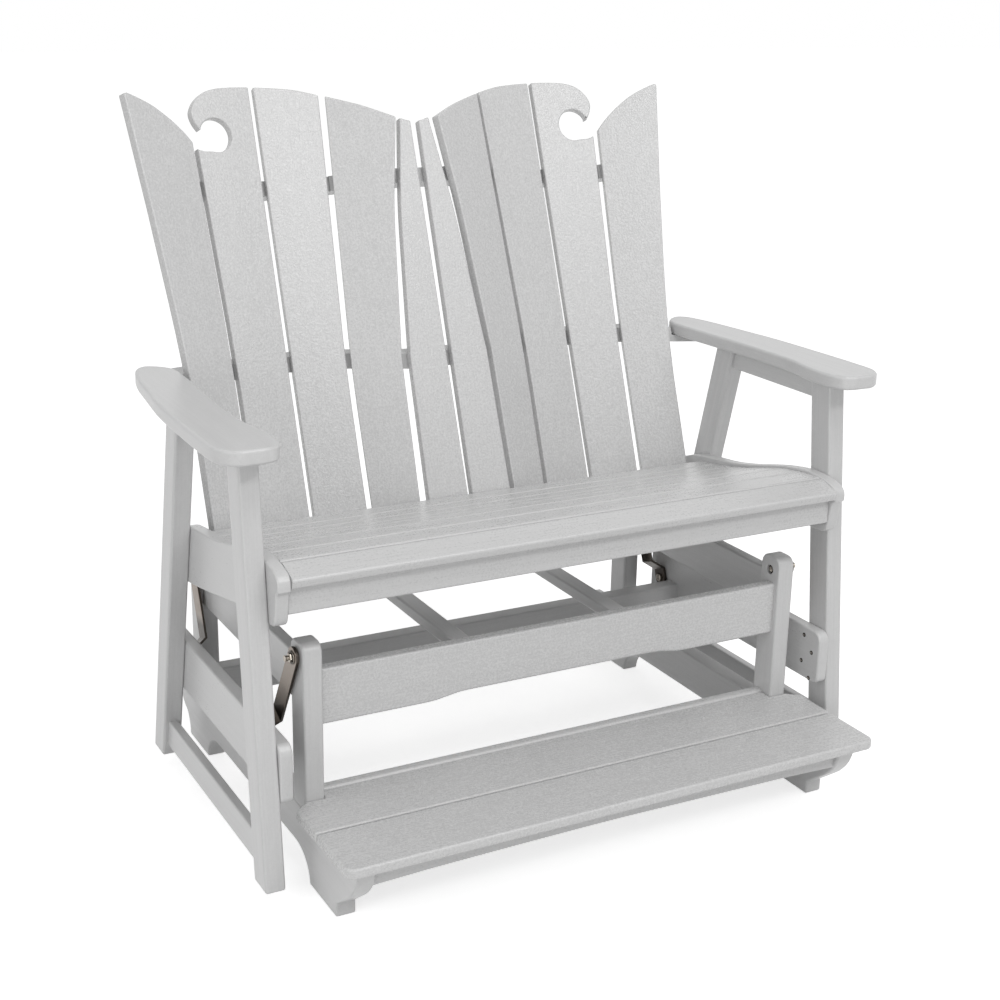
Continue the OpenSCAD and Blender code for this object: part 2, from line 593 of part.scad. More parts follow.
// Face outline of slat k; the fourth from the middle ends in a scroll
module slat_outline(k) {
    t = tops(k);
    inner = edge_pts(k, 0, back_top - t[0][1]);
    crown = curve([for (p = t) top_pt(k, p[0], p[1])], 5);
    if (k == 3) {
        c = top_pt(k, scroll_c[0], scroll_c[1]);
        lip = [for (p = [[0.76, 119.5], [0.88, 118.6], [0.96, 115.8], [1, 112.5]]) top_pt(k, p[0], p[1])];
        difference() {
            polygon([for (p = concat(inner, crown, [top_pt(k, 0.855, 78), c], lip,
                backwards(edge_pts(k, 1, back_top - 120)))) in_slat(k, p[0], p[1])]);
            translate(in_slat(k, c[0], c[1])) circle(r = scroll_r, $fn = 64);
        }
    } else {
        polygon([for (p = concat(inner, crown,
            backwards(edge_pts(k, 1, back_top - t[len(t) - 1][1] - 1)))) in_slat(k, p[0], p[1])]);
    }
}
module back_slat(s, k) seat_piece(k % 2 == 0 ? plastic : [0.79, 0.79, 0.78]) on_side(s) in_back()
    translate([slat_mid(k), face_w(k, slat_mid(k)), 0]) rotate([0, 0, slat_turn(k)])
        rotate([90, 0, 0]) translate([0, 0, -slat_t]) linear_extrude(height = slat_t) slat_outline(k);

// Everything in front of the rear faces of the slats; a rail cut by it lies flush on them
module slat_room(z, x_end) {
    // the two middle slats are flat, so one block clears both
    in_back() translate([-line_x(1, z) - 2, -slat_t, -500]) cube([2 * line_x(1, z) + 4, 2 * slat_t, 1100]);
    for (s = [-1, 1]) on_side(s) for (k = [1:4]) {
        x0 = line_x(k, z) - back_gap / 3;
        x1 = k == 4 ? x_end : line_x(k + 1, z) + back_gap / 3;
        c = cos(slat_turn(k));
        in_back() translate([slat_mid(k), face_w(k, slat_mid(k)), 0]) rotate([0, 0, slat_turn(k)])
            translate([(x0 - slat_mid(k)) / c, -slat_t, -500])
                cube([(x1 - x0) / c, 2 * slat_t, 1100]);
    }
}
// wave of the slats' rear faces at distance x and height z, in the leaning frame
function rear_w(x, z) = let (
    k = x < line_x(1, z) ? 0 : x < line_x(2, z) ? 1 : x < line_x(3, z) ? 2 : x < line_x(4, z) ? 3 : 4)
    face_w(k, x) + slat_t / cos(slat_turn(k));
wave_stops = span * [0, 50, 100, 150, 206, 265, 327, 387, 447, 500, 545];
rear_stops = span * [0, 100, 206, 327, 447];
// depth of the slats' rear faces at distance x and height z
function rear_y(x, z) = back_face(z) + rear_w(x, z) / cos(back_lean);
// Plan of a level rail behind the slats: its front runs inside them and is cut to
// their rear faces later, its rear edge runs along the wave
module level_plan(z, h, depth, x_end) {
    front = [for (x = wave_stops) [x, rear_y(x, z) - 6]];
    rear = curve([for (x = concat(rear_stops, [x_end - 25, x_end]))
        [x, rear_y(min(x, wave_stops[10]), z + h) + depth]], 5);
    polygon(both_halves(concat(front, [[x_end, rear_y(x_end, z) - 6]], backwards(rear))));
}
// Level rail at the armrests, rabbeted at both ends to carry them
module back_shelf() seat_piece(plastic_2) difference() {
    z0 = arm_under_z - shelf_down;
    translate([0, 0, z0]) linear_extrude(height = shelf_h)
        level_plan(z0, shelf_h, shelf_d - 12, leg_out);
    slat_room(z0, leg_out + 40);
    for (s = [-1, 1]) on_side(s)
        translate([rest_in - 4, 0, arm_under_z]) cube([2 * rest_w, 2 * rest_rear, shelf_h]);
}
// Lower rail that holds the feet of the slats, between the seat sides
module back_sill() seat_piece(plastic_2) difference() {
    translate([0, 0, back_bottom + 2]) linear_extrude(height = sill_h)
        level_plan(back_bottom + 2, sill_h, sill_d - 14, side_in - fit_gap);
    slat_room(back_bottom, side_in + 20);
}
// Upper rail, square to the slats
module back_crest() seat_piece(plastic_2) {
    v1 = (back_top - back_z) / cos(back_lean) - crest_drop;
    z1 = back_z + v1 * cos(back_lean) - wave / 2 * sin(back_lean);
    front = [for (x = wave_stops) if (x < crest_x) [x, rear_w(x, z1) - 6]];
    rear = curve([for (x = concat(rear_stops, [crest_x - 12, crest_x]))
        [x, rear_w(x, z1) + crest_d - (x > crest_x - 6 ? 14 : 0)]], 5);
    difference() {
        in_back() translate([0, 0, v1 - crest_h]) linear_extrude(height = crest_h)
            polygon(both_halves(concat(front, [[crest_x, rear_w(crest_x, z1) - 6]],
                backwards(rear))));
        slat_room(z1, crest_x + 40);
    }
}

floor_rail(-1);  // floor_rail_left
floor_rail(1);  // floor_rail_right
post(-1, pivot_front_y);  // post_front_left
post(1, pivot_front_y);  // post_front_right
post(-1, pivot_rear_y);  // post_rear_left
post(1, pivot_rear_y);  // post_rear_right
base_tie(-1);  // base_tie_left
base_tie(1);  // base_tie_right
front_rail();  // base_rail_front
rear_rail();  // base_rail_rear
cross_slat(-1);  // cross_slat_left
cross_slat(1);  // cross_slat_right
rear_plank();  // plank_rear
front_plank();  // plank_front
heel_board();
toe_board();
base_bolts();
arm(-1, pivot_front_y, tilt_front, 0);  // arm_front_left
arm(1, pivot_front_y, tilt_front, 0);  // arm_front_right
arm(-1, pivot_rear_y, -tilt_rear, eye_room);  // arm_rear_left
arm(1, pivot_rear_y, -tilt_rear, eye_room);  // arm_rear_right
front_leg(-1);  // leg_front_left
front_leg(1);  // leg_front_right
rear_leg(-1);  // leg_rear_left
rear_leg(1);  // leg_rear_right
stretcher(-1);  // stretcher_left
stretcher(1);  // stretcher_right
under_arm(-1);  // under_arm_left
under_arm(1);  // under_arm_right
low_rail(-1);  // low_rail_left
low_rail(1);  // low_rail_right
crossbar();
seat_bolts();
seat_side(-1);  // seat_side_left
seat_side(1);  // seat_side_right
seat_apron();
seat_spine();
seat_slat(0);  // seat_slat_1
seat_slat(1);  // seat_slat_2
seat_slat(2);  // seat_slat_3
seat_slat(3);  // seat_slat_4
seat_slat(4);  // seat_slat_5
seat_slat(5);  // seat_slat_6
seat_slat(6);  // seat_slat_7
seat_slat(7);  // seat_slat_8
armrest(-1);  // armrest_left
armrest(1);  // armrest_right
back_shelf();
back_sill();
back_crest();
back_slat(-1, 4);  // back_left_1
back_slat(-1, 3);  // back_left_2
back_slat(-1, 2);  // back_left_3
back_slat(-1, 1);  // back_left_4
back_slat(-1, 0);  // back_left_5
back_slat(1, 4);  // back_right_1
back_slat(1, 3);  // back_right_2
back_slat(1, 2);  // back_right_3
back_slat(1, 1);  // back_right_4
back_slat(1, 0);  // back_right_5
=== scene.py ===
"""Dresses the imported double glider: eased boards, lumber grain, steel fittings and the studio."""

import logging
import math
from dataclasses import dataclass, field, replace
from enum import Enum
from typing import Any, Callable, Iterable, Sequence

import bpy
from mathutils import Matrix, Vector

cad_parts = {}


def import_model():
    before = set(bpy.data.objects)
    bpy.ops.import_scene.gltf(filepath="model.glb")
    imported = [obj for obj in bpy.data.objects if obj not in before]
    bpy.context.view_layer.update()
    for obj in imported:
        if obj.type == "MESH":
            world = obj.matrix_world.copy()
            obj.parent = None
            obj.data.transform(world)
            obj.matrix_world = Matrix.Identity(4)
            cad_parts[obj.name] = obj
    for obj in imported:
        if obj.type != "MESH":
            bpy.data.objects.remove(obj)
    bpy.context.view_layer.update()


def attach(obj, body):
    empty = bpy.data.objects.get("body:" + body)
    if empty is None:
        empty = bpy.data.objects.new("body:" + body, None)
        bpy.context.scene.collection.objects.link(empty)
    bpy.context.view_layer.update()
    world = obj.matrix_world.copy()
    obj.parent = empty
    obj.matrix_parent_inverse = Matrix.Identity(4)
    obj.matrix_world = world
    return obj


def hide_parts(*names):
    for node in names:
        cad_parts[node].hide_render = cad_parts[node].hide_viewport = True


LOG = logging.getLogger("glider")
# depth of the model's middle behind the front face of the front posts, in metres
MID_Y = 0.268611
# points closer than this are merged, and faces flatter than this angle become one
MERGE_WITHIN = 0.00002
FLAT_WITHIN = math.radians(0.6)
# how near two points or planes are to count as the same, in metres
SAME_POINT = 0.0004
SAME_PLANE = 1e-6


def spot(x: float, y: float, z: float) -> Vector:
    """Point in millimetres, its depth taken from the base's front posts, as a point of the model.

    Args:
        x: distance across, from the middle.
        y: depth behind the front face of the front posts.
        z: height above the floor.

    Returns:
        The point in metres in the model's own frame.
    """
    return Vector((x / 1000, y / 1000 - MID_Y, z / 1000))


class Grain(Enum):
    """Direction in which a board's grain runs, as the turn that lays that direction on X."""

    ACROSS = (0.0, 0.0, 0.0)
    DEPTH = (0.0, 0.0, -90.0)
    UPRIGHT = (0.0, 90.0, 0.0)
    LEANING = (20.5, 90.0, 0.0)
    FRONT_LEG = (5.9, 90.0, 0.0)
    REAR_LEG = (-14.0, 90.0, 0.0)


class Side(Enum):
    """The two halves of the bench and the sign of their X."""

    LEFT = -1
    RIGHT = 1


# ---------------------------------------------------------------- shader tools


class Wire:
    """A shader socket that takes part in ordinary arithmetic."""

    def __init__(self, tree: "Tree", socket: bpy.types.NodeSocket) -> None:
        """Wraps a socket.

        Args:
            tree: the node tree it belongs to.
            socket: the output socket that carries the value.
        """
        self.tree = tree
        self.socket = socket

    def _maths(self, kind: str, *terms: Any) -> "Wire":
        """Adds one Math node and returns its result."""
        return self.tree.node("ShaderNodeMath", {"operation": kind}, list(terms))[0]

    def __add__(self, other: Any) -> "Wire":
        """Sum."""
        return self._maths("ADD", self, other)

    def __radd__(self, other: Any) -> "Wire":
        """Sum with a number on the left."""
        return self._maths("ADD", other, self)

    def __sub__(self, other: Any) -> "Wire":
        """Difference."""
        return self._maths("SUBTRACT", self, other)

    def __mul__(self, other: Any) -> "Wire":
        """Product."""
        return self._maths("MULTIPLY", self, other)

    def __rmul__(self, other: Any) -> "Wire":
        """Product with a number on the left."""
        return self._maths("MULTIPLY", other, self)

    def at_least(self, other: Any) -> "Wire":
        """The larger of the two."""
        return self._maths("MAXIMUM", self, other)

    def ramp(self, low: float, high: float, out_low: float = 0.0, out_high: float = 1.0) -> "Wire":
        """Value carried smoothly from one range to another.

        Args:
            low: input that gives out_low.
            high: input that gives out_high.
            out_low: result at and below low.
            out_high: result at and above high.

        Returns:
            The carried value.
        """
        return self.tree.node(
            "ShaderNodeMapRange",
            {"interpolation_type": "SMOOTHSTEP"},
            {
                "Value": self,
                "From Min": low,
                "From Max": high,
                "To Min": out_low,
                "To Max": out_high,
            },
        )[0]


class Tree:
    """Builds the node tree of one material or world."""

    def __init__(self, tree: bpy.types.NodeTree) -> None:
        """Empties the tree and keeps it.

        Args:
            tree: node tree to fill.
        """
        self.tree = tree
        tree.nodes.clear()

    def node(self, kind: str, settings: dict[str, Any], values: Any) -> list[Wire]:
        """Adds a node, sets it up and feeds its sockets.

        Args:
            kind: the node's type.
            settings: its properties.
            values: values or wires for its inputs, by name or in order.

        Returns:
            A wire for each of its outputs.
        """
        made = self.tree.nodes.new(kind)
        for name, value in settings.items():
            setattr(made, name, value)
        pairs = values.items() if isinstance(values, dict) else enumerate(values)
        for key, value in pairs:
            socket = made.inputs[key]
            if isinstance(value, Wire):
                self.tree.links.new(value.socket, socket)
            else:
                socket.default_value = value
        return [Wire(self, out) for out in made.outputs]

    def here(self) -> Wire:
        """Object coordinates."""
        return self.node("ShaderNodeTexCoord", {}, {})[3]

    def place(self, turn: tuple[float, float, float], along: float = 1.0) -> Wire:
        """Object coordinates, turned so that the grain runs along X, then drawn out along it.

        Args:
            turn: angles in degrees.
            along: factor along the grain; below 1 it draws a pattern out.

        Returns:
            The vector wire.
        """
        angles = tuple(math.radians(a) for a in turn)
        turned = self.node("ShaderNodeMapping", {}, {"Vector": self.here(), "Rotation": angles})[0]
        scale = (along, 1.0, 1.0)
        return self.node("ShaderNodeMapping", {}, {"Vector": turned, "Scale": scale})[0]

    def noise(self, vector: Wire, scale: float, detail: float, rough: float = 0.5) -> Wire:
        """Noise value from 0 to 1 at a place.

        Args:
            vector: where it is read.
            scale: spots per metre.
            detail: number of finer layers.
            rough: share of the finer layers.

        Returns:
            The noise value.
        """
        return self.node(
            "ShaderNodeTexNoise",
            {"noise_dimensions": "3D"},
            {"Vector": vector, "Scale": scale, "Detail": detail, "Roughness": rough},
        )[0]

    def tint(self, colour: tuple[float, float, float], shade: Wire) -> Wire:
        """One colour made lighter or darker by a factor.

        Args:
            colour: linear colour.
            shade: factor round 1.

        Returns:
            The colour wire.
        """
        return self.node(
            "ShaderNodeVectorMath", {"operation": "SCALE"}, {0: colour, "Scale": shade}
        )[0]

    def bump(self, height: Wire, depth: float, reach: float, under: Wire | None = None) -> Wire:
        """Bumps from a height value.

        Args:
            height: height value.
            depth: strength of the bumps.
            reach: height in metres that a value of 1 stands for.
            under: bumps that lie below these.

        Returns:
            The normal wire.
        """
        sockets: dict[str, Any] = {"Height": height, "Strength": depth, "Distance": reach}
        if under is not None:
            sockets["Normal"] = under
        return self.node("ShaderNodeBump", {}, sockets)[0]


def new_material(name: str) -> tuple[bpy.types.Material, Tree]:
    """Makes an empty node material.

    Args:
        name: its name.

    Returns:
        The material and its tree.
    """
    made = bpy.data.materials.new(name)
    made.use_nodes = True
    return made, Tree(made.node_tree)


@dataclass(frozen=True)
class Pattern:
    """One noise pattern of a finish: how fine it is and how far it is drawn out."""

    per_metre: float
    detail: float
    share: float = 0.5
    along: float = 1.0

    def read(self, tree: Tree, turn: tuple[float, float, float]) -> Wire:
        """Noise value of this pattern.

        Args:
            tree: tree in which it is read.
            turn: angles in degrees that lay the grain on X.

        Returns:
            The value, from 0 to 1.
        """
        return tree.noise(tree.place(turn, self.along), self.per_metre, self.detail, self.share)


PEBBLES = Pattern(215.0, 3.0, 0.62)
PORES = Pattern(950.0, 2.0)
MOTTLE = Pattern(60.0, 3.0, 0.6)
CLOUDS = Pattern(9.0, 2.0)
LINES = Pattern(420.0, 3.0, 0.6, 0.045)
BANDS = Pattern(95.0, 2.0, 0.5, 0.015)
BRUSHING = Pattern(2600.0, 2.0, 0.6, 0.03)
STAINS = Pattern(55.0, 4.0, 0.6)
PITS = Pattern(1400.0, 2.0)


@dataclass(frozen=True)
class Lumber:
    """Light grey poly lumber with a moulded grain that runs along the board.

    speckle and streak are the spread of its shade, pebble and groove the strength of its bumps.
    """

    name: str
    slot: str
    colour: tuple[float, float, float]
    speckle: float
    pebble: float
    streak: float
    groove: float
    rough: float
    pebble_height: float = 0.0003
    pore_height: float = 0.00008
    groove_height: float = 0.00016

    def made(self, grain: Grain) -> bpy.types.Material:
        """Builds the material for one grain direction.

        Args:
            grain: direction of the grain.

        Returns:
            The material.
        """
        material, tree = new_material(f"{self.name}_{grain.name.lower()}")
        pebbles, pores, mottle, clouds, lines, bands = (
            pattern.read(tree, grain.value)
            for pattern in (PEBBLES, PORES, MOTTLE, CLOUDS, LINES, BANDS)
        )
        shade = (
            1.0
            + (pebbles - 0.5) * self.speckle
            + (pores - 0.5) * (self.speckle * 0.6)
            + (mottle - 0.5) * (self.speckle * 0.22)
            + (lines - 0.5) * self.streak
            + (bands - 0.5) * (self.streak * 0.9)
            + (clouds - 0.5) * 0.035
        )
        gloss = (
            self.rough + (lines - 0.5) * 0.12 + (pebbles - 0.5) * 0.14 + (clouds - 0.5) * 0.06
        )
        skin = tree.bump(pebbles.ramp(0.36, 0.66), self.pebble, self.pebble_height)
        skin = tree.bump(pores, self.pebble * 0.6, self.pore_height, skin)
        skin = tree.bump(lines.ramp(0.3, 0.7), self.groove, self.groove_height, skin)
        shader = tree.node(
            "ShaderNodeBsdfPrincipled",
            {},
            {
                "Base Color": tree.tint(self.colour, shade),
                "Roughness": gloss,
                "IOR": 1.53,
                "Specular IOR Level": 0.56,
                "Normal": skin,
            },
        )[0]
        tree.node("ShaderNodeOutputMaterial", {}, {"Surface": shader})
        return material


@dataclass(frozen=True)
class Steel:
    """Brown-grey stainless steel with fine brushing and a little staining.

    Below a set height, in metres, it darkens to a set factor with a soft fade; this darkening is
    painted shade on the lower strap, not staining.
    """

    name: str
    colour: tuple[float, float, float]
    rough: float
    brushing: float
    painted_shade_below: float = 0.0
    painted_shade_factor: float = 0.3
    painted_shade_fade: float = 0.012
    brushing_height: float = 0.00004
    pit_height: float = 0.00005

    def made(self, turn: tuple[float, float, float]) -> bpy.types.Material:
        """Builds the material.

        Args:
            turn: angles in degrees that lay the brushing's direction on X.

        Returns:
            The material.
        """
        material, tree = new_material(self.name)
        lines, stain, pits = (pattern.read(tree, turn) for pattern in (BRUSHING, STAINS, PITS))
        shade = 1.0 + (lines - 0.5) * self.brushing + (stain - 0.5) * 0.5 + (pits - 0.5) * 0.12
        # Painted shade: below a set height the strap's colour is darkened, standing in for the
        # shade between leg and post.
        if self.painted_shade_below:
            height = tree.node("ShaderNodeSeparateXYZ", {}, {"Vector": tree.here()})[2]
            edge = height + (stain - 0.5) * 0.02
            low, high = self.painted_shade_below - self.painted_shade_fade, self.painted_shade_below + self.painted_shade_fade
            shade = shade * edge.ramp(low, high, self.painted_shade_factor, 1.0)
        gloss = self.rough + (lines - 0.5) * 0.2 + stain.ramp(0.45, 0.7) * 0.12
        skin = tree.bump(lines, 0.35, self.brushing_height)
        skin = tree.bump(pits, 0.2, self.pit_height, skin)
        shader = tree.node(
            "ShaderNodeBsdfPrincipled",
            {},
            {
                "Base Color": tree.tint(self.colour, shade),
                "Roughness": gloss,
                "Metallic": 1.0,
                "Normal": skin,
            },
        )[0]
        tree.node("ShaderNodeOutputMaterial", {}, {"Surface": shader})
        return material


GREY = (0.565, 0.565, 0.565)
WIDE = Lumber("lumber_wide", "lumber_wide", GREY, 0.38, 0.75, 0.05, 0.12, 0.27)
SEAT = Lumber("lumber_seat", "lumber_wide", GREY, 0.20, 0.5, 0.10, 0.2, 0.29)
SMOOTH = Lumber("lumber_smooth", "lumber_wide", GREY, 0.11, 0.25, 0.08, 0.25, 0.31)
NARROW = Lumber("lumber_narrow", "lumber_narrow", GREY, 0.10, 0.22, 0.14, 0.36, 0.33)
# The strap's last number is the height in metres below which shade is painted into its colour.
STRAP = Steel("strap_steel", (0.235, 0.200, 0.172), 0.33, 0.5, 0.312)
STRAP_EDGE = Steel("strap_edge_steel", (0.075, 0.066, 0.058), 0.42, 0.4)
FITTING = Steel("fitting_steel", (0.40, 0.365, 0.32), 0.27, 0.3)
# Near-black steel that paints shade and dark reflection: the recesses round bolt heads and screws,
# and the washers' middles.
PAINTED_SHADE_FITTING = Steel("painted_shade_fitting_steel", (0.060, 0.053, 0.046), 0.36, 0.3)
# turn that lays the steel's brushing, which runs upright, on X
UPRIGHT_TURN = (0.0, 90.0, 0.0)

MATERIALS: dict[tuple[Lumber, Grain], bpy.types.Material] = {}
STEELS: dict[Steel, bpy.types.Material] = {}


# ---------------------------------------------------------------- mesh tools


def let_go() -> None:
    """Leaves edit mode and deselects everything."""
    if bpy.context.object is not None and bpy.context.object.mode != "OBJECT":
        bpy.ops.object.mode_set(mode="OBJECT")
    bpy.ops.object.select_all(action="DESELECT")


def pick(piece: bpy.types.Object) -> None:
    """Makes one object the only selected and the active one."""
    let_go()
    piece.select_set(True)
    bpy.context.view_layer.objects.active = piece


def choose(piece: bpy.types.Object, kind: str, wanted: Callable[[Any], bool]) -> int:
    """Selects the faces, edges or vertices of a mesh that a test names.

    Args:
        piece: object in object mode.
        kind: "FACE", "EDGE" or "VERT".
        wanted: test on each element.

    Returns:
        How many were selected.
    """
    mesh = piece.data
    for group in (mesh.vertices, mesh.edges, mesh.polygons):
        group.foreach_set("select", [False] * len(group))
    found = 0
    for item in {"FACE": mesh.polygons, "EDGE": mesh.edges, "VERT": mesh.vertices}[kind]:
        if wanted(item):
            item.select = True
            found += 1
    pick(piece)
    bpy.ops.object.mode_set(mode="EDIT")
    bpy.ops.mesh.select_mode(type=kind)
    bpy.ops.object.mode_set(mode="OBJECT")
    for item in {"FACE": mesh.polygons, "EDGE": mesh.edges, "VERT": mesh.vertices}[kind]:
        item.select = bool(wanted(item))
    bpy.ops.object.mode_set(mode="EDIT")
    return found


def edge_faces(mesh: bpy.types.Mesh) -> dict[int, list[Vector]]:
    """Normals of the faces on each edge.

    Args:
        mesh: mesh to read.

    Returns:
        Edge index to the list of its faces' normals.
    """
    by_key = {key: i for i, key in enumerate(mesh.edge_keys)}
    faces: dict[int, list[Vector]] = {}
    for face in mesh.polygons:
        for key in face.edge_keys:
            faces.setdefault(by_key[key], []).append(face.normal.copy())
    return faces


def ease_edges(width: float, segments: int, clamp: bool) -> None:
    """Rounds the selected edges in edit mode.

    Args:
        width: width of the rounding in millimetres.
        segments: number of steps.
        clamp: True to stop where roundings would meet.
    """
    bpy.ops.mesh.bevel(
        offset=width / 1000, segments=segments, profile=0.5, affect="EDGES", clamp_overlap=clamp
    )


def smooth(piece: bpy.types.Object, angle: float = 38.0) -> None:
    """Shades a piece smooth up to an angle, with flat faces kept flat.

    Args:
        piece: object to shade.
        angle: largest smooth angle in degrees.
    """
    pick(piece)
    bpy.ops.object.shade_smooth_by_angle(angle=math.radians(angle))
    even = piece.modifiers.new("even", "WEIGHTED_NORMAL")
    even.keep_sharp = True
    bpy.ops.object.modifier_apply(modifier=even.name)


def wear(piece: bpy.types.Object, material: bpy.types.Material) -> None:
    """Gives a piece one material."""
    piece.data.materials.clear()
    piece.data.materials.append(material)


def finished(piece: bpy.types.Object, node: str, body: str) -> None:
    """Lets a finished piece take the place of a CAD node and ride on its body.

    Args:
        piece: the piece.
        node: the CAD node that it replaces.
        body: the body that it rides on.
    """
    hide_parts(node)
    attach(piece, body)
    LOG.info("%s: %d faces on %s", piece.name, len(piece.data.polygons), body)


@dataclass
class Board:
    """How one board's edges are eased and which finish it wears.

    ease is in millimetres. Edges that turn by less than the angle least stay as they are, and so
    do those of faces that look along square and those within bore_reach of a bore. crumbs are
    outline corners, on the right half, that run through the board along through.
    """

    finish: Lumber
    grain: Grain
    ease: float = 4.0
    square: tuple[tuple[float, float, float], ...] = ()
    bores: tuple[Vector, ...] = ()
    bore_reach: float = 0.012
    least: float = 50.0
    rear_only: bool = False
    crumbs: tuple[tuple[float, float, float], ...] = ()
    through: tuple[float, float, float] = (0.0, 1.0, 0.0)

    def copy_of(self, name: str) -> bpy.types.Object:
        """Copies a CAD board's mesh and merges it.

        Args:
            name: the CAD node.

        Returns:
            The merged copy.
        """
        source = bpy.data.objects[name]
        piece = bpy.data.objects.new(f"board_{name}", source.data.copy())
        bpy.context.scene.collection.objects.link(piece)
        pick(piece)
        bpy.ops.object.mode_set(mode="EDIT")
        bpy.ops.mesh.select_all(action="SELECT")
        bpy.ops.mesh.remove_doubles(threshold=MERGE_WITHIN)
        bpy.ops.mesh.dissolve_limited(angle_limit=FLAT_WITHIN)
        bpy.ops.object.mode_set(mode="OBJECT")
        if piece.data.has_custom_normals:
            bpy.ops.mesh.customdata_custom_splitnormals_clear()
        return piece

    def clear_crumbs(self, piece: bpy.types.Object) -> None:
        """Takes out the named corners of the outline that lie too close to the next to be eased.

        Args:
            piece: the merged copy of a board.
        """
        through = Vector(self.through).normalized()
        places = [Vector(at) for at in self.crumbs]
        points = [Vector((abs(v.co.x), v.co.y, v.co.z)) for v in piece.data.vertices]

        def is_crumb(edge: bpy.types.MeshEdge) -> bool:
            """Tells whether an edge through the board starts at one of the places."""
            return any(
                all((points[i] - at).cross(through).length < SAME_POINT for i in edge.vertices)
                for at in places
            )

        if choose(piece, "EDGE", is_crumb):
            bpy.ops.mesh.dissolve_edges(use_verts=True)
        bpy.ops.object.mode_set(mode="OBJECT")

    def is_sharp(self, mesh: bpy.types.Mesh, edge: bpy.types.MeshEdge, sides: list[Vector]) -> bool:
        """Tells whether an edge is to be eased.

        Args:
            mesh: the board's mesh.
            edge: the edge.
            sides: normals of its faces.

        Returns:
            True for a sharp edge that is to be eased, away from square ends and bores.
        """
        if len(sides) != 2 or sides[0].angle(sides[1], 0.0) < math.radians(self.least):
            return False
        if any(n.dot(Vector(way).normalized()) > 0.9 for way in self.square for n in sides):
            return False
        if self.rear_only and not any(n.y > 0.4 for n in sides):
            return False
        middle = (mesh.vertices[edge.vertices[0]].co + mesh.vertices[edge.vertices[1]].co) / 2
        return all(
            math.hypot(middle.y - bore.y, middle.z - bore.z) > self.bore_reach
            for bore in self.bores
        )

    def build(self, name: str, body: str) -> bpy.types.Object:
        """Builds the eased board that stands for a CAD node.

        Args:
            name: the CAD node.
            body: the body it rides on.

        Returns:
            The finished piece.
        """
        piece = self.copy_of(name)
        if self.crumbs:
            self.clear_crumbs(piece)
        if self.ease > 0:
            sides = edge_faces(piece.data)
            mesh = piece.data
            found = choose(
                piece, "EDGE", lambda e: self.is_sharp(mesh, e, sides.get(e.index, []))
            )
            if found:
                ease_edges(self.ease, 4, False)
            bpy.ops.object.mode_set(mode="OBJECT")
        smooth(piece)
        wear(piece, MATERIALS[self.finish, self.grain])
        finished(piece, name, body)
        return piece


# ---------------------------------------------------------------- fittings


